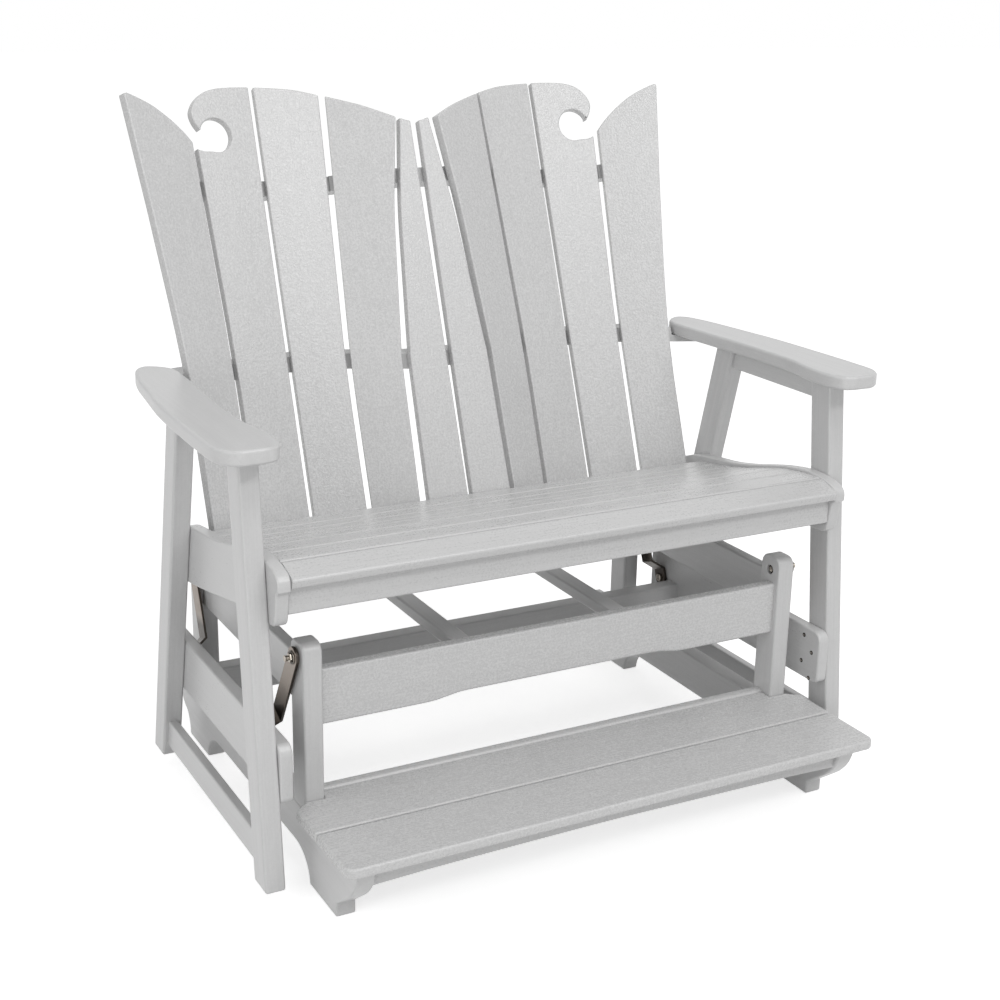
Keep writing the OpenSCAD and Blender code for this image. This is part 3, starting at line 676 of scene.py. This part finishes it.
@dataclass
class Turned:
    """Turned steel parts: washers, hexagon nuts, bolt ends and screw heads, all along X.

    Every part stands on a face square to X at a place in metres and grows towards side, which is
    +1 or -1; its radius and height are in millimetres.
    """

    sides: int = 48
    thread_pitch: float = 1.4
    thread_waist: float = 0.93

    def disc(
        self, at: Vector, radius: float, height: float, side: int, corners: int = 0
    ) -> bpy.types.Object:
        """Adds a cylinder that stands on a face square to X.

        Args:
            at: centre of its foot, in metres.
            radius: radius in millimetres.
            height: height in millimetres.
            side: direction in which it stands, +1 or -1 along X.
            corners: number of sides, or 0 for a round one.

        Returns:
            The cylinder, selected and in object mode.
        """
        let_go()
        bpy.ops.mesh.primitive_cylinder_add(
            vertices=corners or self.sides,
            radius=radius / 1000,
            depth=height / 1000,
            location=at + Vector((side * height / 2000, 0, 0)),
            rotation=(0, side * math.pi / 2, 0),
        )
        made = bpy.context.object
        bpy.ops.object.transform_apply(location=True, rotation=True, scale=True)
        return made

    def far_end(self, made: bpy.types.Object, side: int) -> Callable[[Vector], bool]:
        """Test that tells whether a point lies on the far end of a turned part."""
        far = max(side * v.co.x for v in made.data.vertices)
        return lambda point: side * point.x > far - SAME_PLANE

    def cap(
        self, made: bpy.types.Object, side: int, inset: float, push: float, grow: float = 0.0
    ) -> None:
        """Insets the far end of a turned part and pushes the middle in or out.

        Args:
            made: the part.
            side: direction in which it stands.
            inset: width of the ring that stays, in millimetres.
            push: travel of the middle along X, away from the foot, in millimetres.
            grow: depth of a bevel round the end first, in millimetres.
        """
        at_end = self.far_end(made, side)
        if grow:
            choose(
                made, "EDGE", lambda e: all(at_end(made.data.vertices[i].co) for i in e.vertices)
            )
            ease_edges(grow, 2, True)
            bpy.ops.object.mode_set(mode="OBJECT")
        choose(made, "FACE", lambda f: at_end(f.center) and abs(f.normal.x) > 0.99)
        bpy.ops.mesh.inset(thickness=inset / 1000)
        bpy.ops.transform.translate(value=(side * push / 1000, 0, 0))
        bpy.ops.object.mode_set(mode="OBJECT")

    def washer(self, at: Vector, radius: float, height: float, side: int) -> bpy.types.Object:
        """A pressed washer with an eased rim and a dished middle."""
        made = self.disc(at, radius, height, side)
        self.cap(made, side, radius * 0.42, -height * 0.22, height * 0.3)
        return made

    def collar(self, at: Vector, radius: float, height: float, side: int) -> bpy.types.Object:
        """A thin bright ring round a washer."""
        made = self.disc(at, radius, height, side)
        self.cap(made, side, 0.7, -height * 0.8, height * 0.4)
        return made

    def nut(self, at: Vector, radius: float, height: float, side: int) -> bpy.types.Object:
        """A hexagon nut with chamfered corners and a collar."""
        made = self.disc(at, radius, height, side, 6)
        self.cap(made, side, radius * 0.2, height * 0.12, height * 0.16)
        return made

    def shank(self, at: Vector, radius: float, height: float, side: int) -> bpy.types.Object:
        """A bolt end with thread rings and a chamfered tip."""
        made = self.disc(at, radius, height, side)
        rings = max(2, int(height / self.thread_pitch))
        for step in range(1, rings):
            pick(made)
            bpy.ops.object.mode_set(mode="EDIT")
            bpy.ops.mesh.select_all(action="SELECT")
            bpy.ops.mesh.bisect(
                plane_co=(at.x + side * height / 1000 * step / rings, 0, 0), plane_no=(1, 0, 0)
            )
            if step % 2:
                bpy.ops.transform.resize(
                    value=(1, self.thread_waist, self.thread_waist), center_override=tuple(at)
                )
            bpy.ops.object.mode_set(mode="OBJECT")
        self.cap(made, side, radius * 0.3, -0.4, 0.8)
        return made

    def dome(self, at: Vector, radius: float, height: float, side: int) -> bpy.types.Object:
        """A low domed head with a drive recess."""
        made = self.disc(at, radius, height, side)
        self.cap(made, side, radius * 0.45, height * 0.22, height * 0.45)
        at_end = self.far_end(made, side)
        choose(made, "FACE", lambda f: at_end(f.center) and abs(f.normal.x) > 0.99)
        bpy.ops.mesh.inset(thickness=radius * 0.12 / 1000)
        bpy.ops.transform.translate(value=(-side * height * 0.5 / 1000, 0, 0))
        bpy.ops.object.mode_set(mode="OBJECT")
        return made

    def joined(self, name: str, parts: Sequence[bpy.types.Object]) -> bpy.types.Object:
        """Joins turned parts into one piece.

        Args:
            name: name of the piece.
            parts: the parts.

        Returns:
            The joined piece with its place in its mesh.
        """
        let_go()
        for part in parts:
            part.select_set(True)
        bpy.context.view_layer.objects.active = parts[0]
        bpy.ops.object.join()
        made = bpy.context.object
        made.name = name
        made.data.name = name
        bpy.ops.object.transform_apply(location=True, rotation=True, scale=True)
        smooth(made, 32.0)
        return made


@dataclass
class PivotFittings:
    """Bolts, washers and nuts at the four upper and four lower pivots, in millimetres.

    Pivots are given by depth and height, faces by their distance from the middle.
    """

    top_front: tuple[float, float] = (30.0, 432.0)
    top_rear: tuple[float, float] = (602.0, 432.0)
    low_front: tuple[float, float] = (136.84, 250.63)
    low_rear: tuple[float, float] = (526.05, 236.15)
    post_in: float = 497.0
    post_out: float = 535.0
    side_in: float = 575.0
    arm_x0: float = 537.3
    arm_out: float = 566.7
    arm_t: float = 6.0
    play: float = 0.3
    washer_r: float = 12.0
    washer_t: float = 2.0
    turned: Turned = field(default_factory=Turned)

    def worn(self, finish: Steel, *parts: bpy.types.Object) -> list[bpy.types.Object]:
        """Gives turned parts one finish.

        Args:
            finish: the steel.
            parts: the parts.

        Returns:
            The same parts.
        """
        for part in parts:
            wear(part, STEELS[finish])
        return list(parts)

    def upper(self, side: int) -> list[bpy.types.Object]:
        """Parts of the two upper pivots of one side.

        Args:
            side: -1 or +1.

        Returns:
            The turned parts.
        """
        parts = []
        outer = self.arm_x0 + self.arm_t + self.play
        shank_x = self.post_in + 5
        for y, z in (self.top_front, self.top_rear):
            # The washers are near-black: painted dark reflection in their middles.
            parts += self.worn(
                PAINTED_SHADE_FITTING,
                self.turned.washer(
                    spot(side * self.post_out, y, z), self.washer_r, self.washer_t, side
                ),
                self.turned.washer(
                    spot(side * outer, y, z), self.washer_r + 0.4, self.washer_t, side
                ),
                # A thin near-black disc under the domed head: painted shade of the countersink
                # round it.
                self.turned.disc(spot(side * (shank_x + 1), y, z), 9.7, 1.2, -side),
            )
            parts += self.worn(
                FITTING,
                self.turned.collar(
                    spot(side * (outer + 0.2), y, z), self.washer_r + 0.7, 1.3, side
                ),
                self.turned.nut(spot(side * (outer + 1.9), y, z), 9.0, 4.1, side),
                self.turned.shank(spot(side * shank_x, y, z), 6.2, 55.4, side),
                self.turned.dome(spot(side * shank_x, y, z), 5.4, 3.6, -side),
            )
        return parts

    def lower(self, side: int) -> list[bpy.types.Object]:
        """Parts of the two lower pivots of one side.

        Args:
            side: -1 or +1.

        Returns:
            The turned parts.
        """
        parts = []
        inner = self.arm_out - self.play
        for y, z in (self.low_front, self.low_rear):
            parts += self.worn(
                FITTING,
                self.turned.nut(spot(side * inner, y, z), 9.4, 4.0, -side),
                self.turned.shank(spot(side * (self.side_in + 10), y, z), 5.9, 20.0, -side),
            )
            # The washer is near-black: painted dark reflection in its middle.
            parts += self.worn(
                PAINTED_SHADE_FITTING,
                self.turned.washer(
                    spot(side * self.side_in, y, z), self.washer_r, self.washer_t, -side
                ),
            )
        return parts

    def build(self) -> None:
        """Builds both sets and sets them on their bodies."""
        for body, maker in (("base", self.upper), ("seat", self.lower)):
            parts = [part for side in Side for part in maker(side.value)]
            name = f"{body}_bolts"
            finished(self.turned.joined(f"fittings_{name}", parts), name, body)


@dataclass
class SwingArms:
    """The four steel straps, with eased edges and rolled bends close to their lower eyes.

    ease, bend and lower_by are in millimetres; bend_zone is the upper bend's distance from the
    upper eye, in metres.
    """

    ease: float = 1.1
    bend: float = 2.4
    bend_zone: tuple[float, float] = (0.140, 0.156)
    lower_by: float = 21.0
    eye_front: Vector = field(default_factory=lambda: spot(0, 30, 432))
    eye_rear: Vector = field(default_factory=lambda: spot(0, 602, 432))
    tilt_front: float = 30.5
    tilt_rear: float = -21.5

    def bend_lower(self, piece: bpy.types.Object, front: bool) -> None:
        """Slides the strap's upper bend down along it, so that the offset sits by the lower eye.

        Args:
            piece: the strap.
            front: True for a front strap.
        """
        tilt = math.radians(self.tilt_front if front else self.tilt_rear)
        eye = self.eye_front if front else self.eye_rear
        down = Vector((0.0, math.sin(tilt), -math.cos(tilt)))
        least, most = self.bend_zone
        if choose(piece, "VERT", lambda v: least < (v.co - eye).dot(down) < most):
            bpy.ops.transform.translate(value=down * (self.lower_by / 1000))
        bpy.ops.object.mode_set(mode="OBJECT")

    def is_bend(self, one: Vector, other: Vector) -> bool:
        """Tells whether two faces meet in a bend of the strap's flat sides."""
        return 0.3 < one.angle(other) < 1.3 and abs(one.x) > 0.3 and abs(other.x) > 0.3

    def round_off(
        self,
        piece: bpy.types.Object,
        meets: Callable[[Vector, Vector], bool],
        width: float,
        segments: int,
    ) -> None:
        """Rounds the edges whose two faces meet in a certain way.

        Args:
            piece: the strap.
            meets: test on the normals of an edge's two faces.
            width: width of the rounding in millimetres.
            segments: number of steps.
        """
        sides = edge_faces(piece.data)

        def wanted(edge: bpy.types.MeshEdge) -> bool:
            """Tells whether an edge has two faces that meet as they should."""
            normals = sides.get(edge.index, [])
            return len(normals) == 2 and meets(normals[0], normals[1])

        if choose(piece, "EDGE", wanted):
            ease_edges(width, segments, True)
        bpy.ops.object.mode_set(mode="OBJECT")

    def build(self) -> None:
        """Builds each strap from a merged copy of its solid."""
        for name in ("arm_front_left", "arm_front_right", "arm_rear_left", "arm_rear_right"):
            piece = Board(WIDE, Grain.UPRIGHT).copy_of(name)
            piece.name = f"strap_{name}"
            self.bend_lower(piece, "front" in name)
            self.round_off(piece, self.is_bend, self.bend, 4)
            self.round_off(piece, lambda a, b: a.angle(b) > 1.0, self.ease, 2)
            smooth(piece, 35.0)
            wear(piece, STEELS[STRAP])
            piece.data.materials.append(STEELS[STRAP_EDGE])
            for face in piece.data.polygons:
                face.material_index = 1 if abs(face.normal.x) < 0.35 else 0
            finished(piece, name, name)


@dataclass
class Screws:
    """Screw heads that show on the inner faces of the low side rails, in millimetres."""

    rail_x: float = 575.0
    rail_spots: tuple[tuple[float, float], ...] = (
        (0.0, 285.0),
        (-27.0, 255.0),
        (3.0, 227.0),
        (-24.0, 197.0),
    )
    radius: float = 4.6
    turned: Turned = field(default_factory=Turned)

    def build(self) -> None:
        """Builds the heads, mirrored on both sides."""
        parts = []
        for side in Side:
            for y, z in self.rail_spots:
                foot = spot(side.value * (self.rail_x + 0.6), y, z)
                # The wider near-black dome is a ring of painted shade: the countersunk recess round
                # the head.
                rim = self.turned.dome(foot, self.radius, 1.3, -side.value)
                wear(rim, STEELS[PAINTED_SHADE_FITTING])
                head = self.turned.dome(foot, self.radius * 0.5, 2.0, -side.value)
                wear(head, STEELS[FITTING])
                parts += [rim, head]
        piece = self.turned.joined("screws_low_rails", parts)
        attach(piece, "seat")
        LOG.info("%s: %d faces on seat", piece.name, len(piece.data.polygons))


# ---------------------------------------------------------------- sub-assemblies


def both(name: str) -> tuple[str, str]:
    """Left and right names of a board."""
    return f"{name}_left", f"{name}_right"


@dataclass
class StandingBase:
    """Floor rails, posts, ties, rails and the foot platform."""

    body: str = "base"
    pivot_front: Vector = field(default_factory=lambda: spot(0, 30, 432))
    pivot_rear: Vector = field(default_factory=lambda: spot(0, 602, 432))

    def boards(self) -> Iterable[tuple[Sequence[str], Board]]:
        """Boards of the base with the way each is eased.

        Returns:
            Pairs of node names and board settings.
        """
        pivots = (self.pivot_front, self.pivot_rear)
        ends_x = ((1.0, 0.0, 0.0), (-1.0, 0.0, 0.0))
        ends_y = ((0.0, 1.0, 0.0), (0.0, -1.0, 0.0))
        foot = ((0.0, 0.0, -1.0),)
        yield both("floor_rail"), Board(NARROW, Grain.DEPTH, 4.5)
        posts = (*both("post_front"), *both("post_rear"))
        yield posts, Board(NARROW, Grain.UPRIGHT, 5.0, foot, pivots)
        yield both("base_tie"), Board(NARROW, Grain.DEPTH, 4.0, ends_y)
        yield ("base_rail_front",), Board(WIDE, Grain.ACROSS, 5.0, ends_x)
        yield ("base_rail_rear",), Board(WIDE, Grain.ACROSS, 0.0)
        yield both("cross_slat"), Board(NARROW, Grain.DEPTH, 0.0)
        yield ("plank_rear",), Board(WIDE, Grain.ACROSS, 4.0)
        yield ("plank_front",), Board(WIDE, Grain.ACROSS, 5.0)
        yield ("heel_board",), Board(SEAT, Grain.ACROSS, 2.0, ends_x)
        yield ("toe_board",), Board(SEAT, Grain.ACROSS, 3.0, ends_x)

    def build(self) -> None:
        """Builds every board of the base."""
        for names, board in self.boards():
            for name in names:
                board.build(name, self.body)


@dataclass
class SeatFrame:
    """Legs, side boards, side rails and seat slats that swing together."""

    body: str = "seat"
    hole_front: Vector = field(default_factory=lambda: spot(0, 136.84, 250.63))
    hole_rear: Vector = field(default_factory=lambda: spot(0, 526.05, 236.15))

    def boards(self) -> Iterable[tuple[Sequence[str], Board]]:
        """Boards of the seat with the way each is eased.

        Returns:
            Pairs of node names and board settings.
        """
        holes = (self.hole_front, self.hole_rear)
        ends_y = ((0.0, 1.0, -0.1), (0.0, -1.0, -0.1))
        top = ((0.0, 0.0, 1.0),)
        yield both("leg_front"), Board(NARROW, Grain.FRONT_LEG, 5.0, top)
        yield both("leg_rear"), Board(NARROW, Grain.REAR_LEG, 5.0, top)
        ties = (*both("stretcher"), *both("under_arm"))
        yield ties, Board(NARROW, Grain.DEPTH, 3.5, ends_y)
        yield both("low_rail"), Board(SMOOTH, Grain.DEPTH, 4.0, (), holes)
        yield ("crossbar",), Board(NARROW, Grain.ACROSS, 0.0)
        yield both("seat_side"), Board(SMOOTH, Grain.DEPTH, 3.5)
        yield ("seat_apron",), Board(SEAT, Grain.ACROSS, 0.0)
        yield ("seat_spine",), Board(NARROW, Grain.DEPTH, 2.0)
        yield [f"seat_slat_{i}" for i in range(1, 9)], Board(SEAT, Grain.ACROSS, 0.8)
        yield both("armrest"), Board(NARROW, Grain.DEPTH, 6.0)

    def build(self) -> None:
        """Builds every board of the seat frame."""
        for names, board in self.boards():
            for name in names:
                board.build(name, self.body)


@dataclass
class FanBack:
    """The ten back slats and the three rails behind them.

    Slats are counted from the outer ends in; the second has the scroll. The crumbs are close
    corners by the outer slats' tips and a nick in the scroll's opening.
    """

    body: str = "seat"
    tip_crumbs: tuple[tuple[float, float, float], ...] = (
        (0.60435, 0.42552, 1.35213),
        (0.60335, 0.42609, 1.35261),
        (0.60174, 0.42683, 1.35289),
    )
    tip_through: tuple[float, float, float] = (-0.348, -0.878, 0.328)
    scroll_crumbs: tuple[tuple[float, float, float], ...] = ((0.42582, 0.44732, 1.23539),)
    scroll_through: tuple[float, float, float] = (-0.138, -0.928, 0.347)

    def build(self) -> None:
        """Builds slats and rails."""
        slat = Board(WIDE, Grain.LEANING, 3.0)
        outer = replace(slat, crumbs=self.tip_crumbs, through=self.tip_through)
        scroll = replace(slat, crumbs=self.scroll_crumbs, through=self.scroll_through)
        for side in ("left", "right"):
            for i, board in enumerate((outer, scroll, slat, slat, slat), 1):
                board.build(f"back_{side}_{i}", self.body)
        for name in ("back_shelf", "back_sill", "back_crest"):
            Board(NARROW, Grain.ACROSS, 2.0, least=60.0, rear_only=True).build(name, self.body)


# ---------------------------------------------------------------- studio


@dataclass
class Studio:
    """Camera at the photograph's place, pale floor and soft light."""

    eye: Vector = field(default_factory=lambda: spot(-1489.264, -2466.549, 1578.219))
    heading: float = 28.53
    pitch: float = 17.873
    roll: float = 1.107
    lens: float = 58.87
    sensor: float = 36.0
    centre: tuple[float, float] = (0.00049, 0.00135)
    world_light: float = 0.50
    floor_grey: float = 0.78
    floor_lift: float = 0.66
    floor_size: float = 60.0
    aim: Vector = field(default_factory=lambda: Vector((0.0, 0.0, 0.6)))

    def camera(self) -> None:
        """Makes the camera and hands it to the scene."""
        h, p, r = (math.radians(a) for a in (self.heading, self.pitch, self.roll))
        ahead = Vector((math.sin(h) * math.cos(p), math.cos(h) * math.cos(p), -math.sin(p)))
        across = Vector((math.cos(h), -math.sin(h), 0.0))
        above = across.cross(ahead)
        right = across * math.cos(r) + above * math.sin(r)
        up = above * math.cos(r) - across * math.sin(r)
        ahead = (ahead - right * self.centre[0] + up * self.centre[1]).normalized()
        right = ahead.cross(up).normalized()
        up = right.cross(ahead)
        data = bpy.data.cameras.new("photo_camera")
        data.lens = self.lens
        data.sensor_width = self.sensor
        data.sensor_fit = "HORIZONTAL"
        data.clip_start, data.clip_end = 0.05, 60.0
        made = bpy.data.objects.new("photo_camera", data)
        bpy.context.scene.collection.objects.link(made)
        turn = Matrix((right, up, -ahead)).transposed()
        made.matrix_world = Matrix.Translation(self.eye) @ turn.to_4x4()
        bpy.context.scene.camera = made

    def seen(self, tree: Tree) -> Wire:
        """1 for rays that should meet the white background, 0 for the light itself."""
        path = tree.node("ShaderNodeLightPath", {}, {})
        by_name = {wire.socket.name: wire for wire in path}
        return (
            by_name["Is Camera Ray"]
            .at_least(by_name["Is Glossy Ray"])
            .at_least(by_name["Is Transmission Ray"])
        )

    def world(self) -> None:
        """Even white surroundings, as bright to the eye as the photograph's background."""
        world = bpy.data.worlds.new("studio")
        world.use_nodes = True
        bpy.context.scene.world = world
        tree = Tree(world.node_tree)
        strength = self.seen(tree) * (1.0 - self.world_light) + self.world_light
        back = tree.node(
            "ShaderNodeBackground", {}, {"Color": (1.0, 1.0, 1.0, 1.0), "Strength": strength}
        )[0]
        tree.node("ShaderNodeOutputWorld", {}, {"Surface": back})

    def floor(self) -> None:
        """Wide pale floor that keeps the object's shadow."""
        let_go()
        bpy.ops.mesh.primitive_plane_add(size=self.floor_size, location=(0.0, 0.0, 0.0))
        floor = bpy.context.object
        floor.name = "studio_floor"
        material, tree = new_material("studio_floor")
        grey = (self.floor_grey, self.floor_grey, self.floor_grey, 1.0)
        matt = tree.node("ShaderNodeBsdfDiffuse", {}, {"Color": grey})[0]
        lift = tree.node(
            "ShaderNodeEmission",
            {},
            {"Color": (1.0, 1.0, 1.0, 1.0), "Strength": self.seen(tree) * self.floor_lift},
        )[0]
        both_of = tree.node("ShaderNodeAddShader", {}, {0: matt, 1: lift})[0]
        tree.node("ShaderNodeOutputMaterial", {}, {"Surface": both_of})
        wear(floor, material)

    def lamp(self, name: str, at: Vector, size: tuple[float, float], power: float) -> None:
        """Adds a soft flat lamp that looks at the middle of the bench.

        Args:
            name: its name.
            at: its place.
            size: width and height in metres.
            power: watts.
        """
        data = bpy.data.lights.new(name, "AREA")
        data.shape = "RECTANGLE"
        data.size, data.size_y = size
        data.energy = power
        made = bpy.data.objects.new(name, data)
        bpy.context.scene.collection.objects.link(made)
        made.location = at
        made.rotation_mode = "QUATERNION"
        made.rotation_quaternion = (self.aim - at).to_track_quat("-Z", "Y")

    def build(self) -> None:
        """Builds the studio."""
        self.camera()
        self.world()
        self.floor()
        self.lamp("front_bank", Vector((1.6, -5.3, 5.15)), (4.2, 1.0), 116.0)
        self.lamp("overhead", Vector((0.2, -1.9, 5.0)), (3.0, 2.0), 54.0)
        self.lamp("left", Vector((-4.4, -1.6, 2.4)), (2.4, 2.4), 34.0)
        self.lamp("low_left", Vector((-3.6, -4.4, 0.9)), (2.0, 1.6), 24.0)
        scene = bpy.context.scene
        scene.view_settings.view_transform = "Standard"


def main() -> None:
    """Loads the frame and builds everything in order."""
    logging.basicConfig(level=logging.INFO, format="%(name)s %(message)s")
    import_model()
    for finish in (WIDE, SEAT, SMOOTH, NARROW):
        for grain in Grain:
            MATERIALS[finish, grain] = finish.made(grain)
    for steel in (STRAP, STRAP_EDGE, FITTING, PAINTED_SHADE_FITTING):
        STEELS[steel] = steel.made(UPRIGHT_TURN)
    StandingBase().build()
    SwingArms().build()
    PivotFittings().build()
    SeatFrame().build()
    FanBack().build()
    Screws().build()
    Studio().build()
    let_go()


if __name__ == "__main__":
    main()
